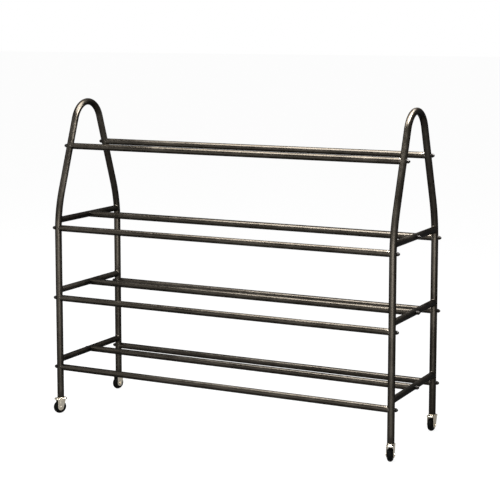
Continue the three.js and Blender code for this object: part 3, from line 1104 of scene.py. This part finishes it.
wheel = {
    "columns": 96,
    "tread": 25.0 * mm,
    "halfTread": 10.5 * mm,
    "treadSteps": 32,
    "line": 0.12 * mm,  # the moulding line's height and half its width
    "lineHalfWidth": 0.5 * mm,
    "bead": [(0.8, -1.2), (-0.3, -0.5), (-1.1, -0.1)],
    "wornDepth": 1.6 * mm,
    "treadWear": 0.55,
    "rim": 12.2 * mm,
    "rimFoot": [(0.7, 0.7)],
    "rimEdge": [(0.7, -0.9), (0.2, -0.5), (-0.6, -1.0)],
    "hub": 7.5 * mm,
    "hubFoot": [(0, 0.6)],
    "hubEdge": [(0.7, 0), (0, -0.7)],
    "halfHub": 11.0 * mm,
    "bore": 3.5 * mm,
    "web": 8.5 * mm,
    "webEnds": (0.5 * mm, 1.2 * mm),  # gaps to the hub's and the rim's radius
    "faceSteps": 10,
    "spokes": 6,
    "spokeRise": 1.5 * mm,
    "spokeHalfWidth": 1.5 * mm,
    "spokeWear": 0.3,
    "bushing": 5.2 * mm,
    "bushingProud": 0.12 * mm,
    "bushingSoftness": 0.3 * mm,
    "bushingColumns": 40,
}


# Tyre: a turned section whose tread is a half circle, with a fine moulding line round its middle,
# a bell curve of the height, and a small step at the wheel centre.
def tyreShell(origin, axes):
    tread = wheel["tread"]
    side = wheel["halfTread"]
    turn = np.linspace(math.pi / 2, -math.pi / 2, wheel["treadSteps"] + 1)
    height = side * np.sin(turn)
    line = wheel["line"] * np.exp(-((height / wheel["lineHalfWidth"]) ** 2))
    arc = np.stack([tread - side + side * np.cos(turn) + line, height], axis=-1)
    bead = offCorner(wheel["rim"], side, wheel["bead"])
    bead = np.array([(bead[0][0], 0), *bead])
    outline = np.concatenate([bead, arc, bead[::-1] * [1, -1]])
    depth = wheel["wornDepth"]
    worn = np.clip((outline[:, 0] - (tread - depth)) / depth, 0, 1) * wheel["treadWear"]
    return turnedShell(outline, origin, axes, wheel["columns"], worn, wrapRows=True)


# Wheel centre: hub, web and rim turned about the axle. The web rises into spokes, a bell curve of
# the distance to the nearest one's middle, along the hub's and the rim's sides.
def centreShell(origin, axes):
    rim = wheel["rim"]
    hub = wheel["hub"]
    web = wheel["web"]
    hubPart = [(wheel["bore"], wheel["halfHub"]), *offCorner(hub, wheel["halfHub"], wheel["hubEdge"])]
    hubPart += offCorner(hub, web, wheel["hubFoot"])
    rimPart = offCorner(rim, web, wheel["rimFoot"])
    rimPart += offCorner(rim, wheel["halfTread"], wheel["rimEdge"])
    rimPart += [(rimPart[-1][0], 0)]
    faceRadius = np.linspace(hub + wheel["webEnds"][0], rim - wheel["webEnds"][1], wheel["faceSteps"])
    face = np.stack([faceRadius, np.full(len(faceRadius), web)], axis=-1)
    radius, height = np.concatenate([hubPart, face, rimPart]).T[:, :, None]
    onFace = np.repeat([0, 1, 0], [len(hubPart), len(face), len(rimPart)])[:, None]

    angle = anglesRound(wheel["columns"])
    pitch = 2 * math.pi / wheel["spokes"]
    fromSpoke = np.abs((angle + pitch / 2) % pitch - pitch / 2) * radius
    spoke = np.exp(-((fromSpoke / wheel["spokeHalfWidth"]) ** 4)) * onFace
    upper = height + wheel["spokeRise"] * spoke
    points = turnedPoints(thereAndBack(radius), thereAndBack(upper, -1), wheel["columns"])
    wear = thereAndBack(spoke) * wheel["spokeWear"]
    return shellOf(placed(points, origin, axes), wear, wrapRows=True, finish=1)


# Steel bushing in the hub, a plain ring whose ends stand just proud of it.
def bushingShell(origin, axes):
    bore = wheel["bore"]
    outer = wheel["bushing"]
    end = wheel["halfHub"] + wheel["bushingProud"]
    corners = [(bore, -end), (outer, -end), (outer, end), (bore, end), (bore, -end)]
    outline = softenOutline(corners, wheel["bushingSoftness"])
    columns = wheel["bushingColumns"]
    return turnedShell(outline, origin, axes, columns, caster["plainWear"], wrapRows=True, finish=2)


# Each fork trails its wheel along its own X axis, and the wheel's local Z axis is its axle.
def makeCaster(corner):
    swivel = np.array(joints[f"swivel_{corner}"]["pos_m"])
    hubPlace = np.array(joints[f"spin_{corner}"]["pos_m"])
    trailWay = hubPlace - swivel
    trailWay[2] = 0
    trail = float(np.linalg.norm(trailWay))
    forkX = trailWay / trail
    forkY = np.cross([0, 0, 1], forkX)
    forkAxes = np.array([forkX, forkY, [0, 0, 1]])
    wheelAxes = np.array([forkX, [0, 0, 1], -forkY])
    foot = np.array([swivel[0], swivel[1], 0])

    collarLow, collarHigh = boxOf(f"caster_socket_{corner}")
    stemTop = boxOf(f"caster_fork_{corner}")[1][2]
    crownHeight = collarLow[2] - caster["swivelGap"] - caster["crownThickness"]
    collarShells = [collarShell(foot, collarLow[2], collarHigh[2])]
    forkShells = [
        crownShell(foot, forkAxes, crownHeight, stemTop),
        strapShell(foot, forkAxes, hubPlace[2], crownHeight, trail),
    ]
    wheelShells = [shell(hubPlace, wheelAxes) for shell in (tyreShell, centreShell, bushingShell)]
    makePiece(f"caster_socket_{corner}", collarShells, [zinc], "frame")
    makePiece(f"caster_fork_{corner}", forkShells, [zinc], f"fork_{corner}")
    makePiece(f"caster_axle_{corner}", axleShells(hubPlace, wheelAxes), [zinc], f"fork_{corner}")
    makePiece(f"caster_wheel_{corner}", wheelShells, [rubber, nylon, zinc], f"wheel_{corner}")


corners = [f"{row}_{side}" for row in ("front", "back") for side in sides]
for corner in corners:
    makeCaster(corner)
print(f"casters: {len(corners)}")


# Studio: pale floor, white surroundings, soft lamps, and bright cards that only gloss reflects.

studio = {
    "floorReach": 60.0,
    "floorLines": 41,
    "floorRoughness": 0.9,
    "floorColour": 0.25,
    "floorGlow": 0.90,  # added for rays that see the background
    "skyFill": 0.30,  # what the surroundings give to the object's own colours
    # place, target, width, height, watts
    "lamps": {
        "overheadSoftbox": ((-1.0, -0.6, 3.2), (-1.0, -0.6, 0.0), 4.0, 2.2, 60),
        "frontSoftbox": ((0.6, -4.6, 2.4), (0.0, 0.0, 0.6), 1.8, 1.8, 70),
        "leftSoftbox": ((-3.2, -2.4, 2.6), (0.0, 0.0, 0.6), 1.6, 1.6, 50),
    },
    "cards": {
        "overheadCard": ((-0.15, -0.1, 2.0), (-0.15, -0.1, 0.0), 1.4, 0.9, 270),
        "crownCard": ((0.75, 0.05, 2.0), (0.75, 0.05, 0.0), 0.25, 1.2, 400),
        "frontCard": ((1.5, -2.8, 0.5), (0.3, 0.0, 0.5), 2.8, 1.0, 210),
        "leftCard": ((-1.4, -2.8, 0.5), (0.0, 0.0, 0.5), 2.6, 1.0, 45),
    },
}


# One when a ray from the camera, or from a glossy or clear surface, sees this, and otherwise zero.
def seenAsBackground(tree):
    path = tree.nodes.new("ShaderNodeLightPath")
    seen = path.outputs["Is Camera Ray"]
    for output in ("Is Glossy Ray", "Is Transmission Ray"):
        seen = addMath(tree, "MAXIMUM", seen, path.outputs[output])
    return seen


# A wide floor: pale, so that it keeps the cart's shadow, with a glow for rays that see the background.
def makeFloor():
    reach = studio["floorReach"]
    lines = studio["floorLines"]
    places = np.linspace(-reach, reach, lines)
    x, y = np.meshgrid(places, places, indexing="ij")
    points = np.stack([x, y, np.zeros_like(x)], axis=-1)
    quads = gridQuads(lines, lines, False, False)[:, ::-1]  # turned round, to face upwards
    mesh = bpy.data.meshes.new("studioFloor")
    mesh.from_pydata(points.reshape(-1, 3).tolist(), [], quads.tolist())
    material = bpy.data.materials.new("paleFloor")
    material.use_nodes = True
    tree = material.node_tree
    shader = tree.nodes["Principled BSDF"]
    shader.inputs["Roughness"].default_value = studio["floorRoughness"]
    shader.inputs["Specular IOR Level"].default_value = 0.0
    pale = studio["floorColour"]
    shader.inputs["Base Color"].default_value = (pale, pale, pale, 1)
    shader.inputs["Emission Color"].default_value = (1, 1, 1, 1)
    glow = addMath(tree, "MULTIPLY", seenAsBackground(tree), studio["floorGlow"])
    tree.links.new(glow, shader.inputs["Emission Strength"])
    mesh.materials.append(material)
    floor = bpy.data.objects.new("studioFloor", mesh)
    bpy.context.scene.collection.objects.link(floor)


# Surroundings: white for rays that see the background, and a plain fill for the object's colours.
def makeWorld():
    world = bpy.data.worlds.new("studioWhite")
    world.use_nodes = True
    bpy.context.scene.world = world
    tree = world.node_tree
    background = tree.nodes["Background"]
    background.inputs["Color"].default_value = (1, 1, 1, 1)
    extra = addMath(tree, "MULTIPLY", seenAsBackground(tree), 1 - studio["skyFill"])
    tree.links.new(addMath(tree, "ADD", extra, studio["skyFill"]), background.inputs["Strength"])


# Matrix for an object that stands upright at a place and looks along its own -Z at a target. One
# that looks straight down has its top towards the cart's back.
def aimed(place, target):
    back = np.array(place, float) - np.array(target, float)
    back /= np.linalg.norm(back)
    upright = [0, 0, 1] if math.hypot(back[0], back[1]) > nearZero else [0, 1, 0]
    right = np.cross(upright, back)
    right /= np.linalg.norm(right)
    up = np.cross(back, right)
    matrix = np.eye(4)
    matrix[:3, 0] = right
    matrix[:3, 1] = up
    matrix[:3, 2] = back
    matrix[:3, 3] = place
    return Matrix(matrix.tolist())


# Area lights that no camera sees. The cards light nothing but gloss.
def makeLamps(kind):
    for name, (place, target, width, height, watts) in studio[kind].items():
        light = bpy.data.lights.new(name, "AREA")
        light.shape = "RECTANGLE"
        light.size = width
        light.size_y = height
        light.energy = watts
        lamp = bpy.data.objects.new(name, light)
        lamp.matrix_world = aimed(place, target)
        lamp.visible_camera = False
        lamp.visible_diffuse = kind != "cards"
        bpy.context.scene.collection.objects.link(lamp)


makeFloor()
makeWorld()
makeLamps("lamps")
makeLamps("cards")
print(f"studio: floor, surroundings, {len(studio['lamps'])} lamps and {len(studio['cards'])} cards")


# Camera, where the photograph was taken from.

view = {
    "fromMiddle": (2.4295, -4.7336, 1.5060),  # from the floor point under the hoops' middle
    "yaw": math.radians(26.862),
    "pitch": math.radians(-6.456),
    "roll": math.radians(0.037),
    "focalPixels": 1430.4,
    "centrePixels": 58.64,  # from the frame's middle up to the lens's axis
    "framePixels": 500,
    "sensor": 36.0,
    "nearest": 0.05,
    "furthest": 200,
}


# A pinhole camera with a lens shift, turned by the yaw, then the pitch, then the roll.
def makeCamera():
    camera = bpy.data.cameras.new("photoCamera")
    camera.sensor_fit = "HORIZONTAL"
    camera.sensor_width = view["sensor"]
    camera.lens = view["sensor"] * view["focalPixels"] / view["framePixels"]
    camera.shift_y = -view["centrePixels"] / view["framePixels"]
    camera.clip_start = view["nearest"]
    camera.clip_end = view["furthest"]
    holder = bpy.data.objects.new("photoCamera", camera)
    bpy.context.scene.collection.objects.link(holder)
    across, away, height = view["fromMiddle"]
    turn = (
        Matrix.Rotation(view["yaw"], 4, "Z")
        @ Matrix.Rotation(math.pi / 2 + view["pitch"], 4, "X")
        @ Matrix.Rotation(view["roll"], 4, "Z")
    )
    holder.matrix_world = Matrix.Translation((middleX + across, middleY + away, height)) @ turn
    bpy.context.scene.camera = holder


makeCamera()
bpy.context.scene.view_settings.view_transform = "Standard"
print("camera: set")
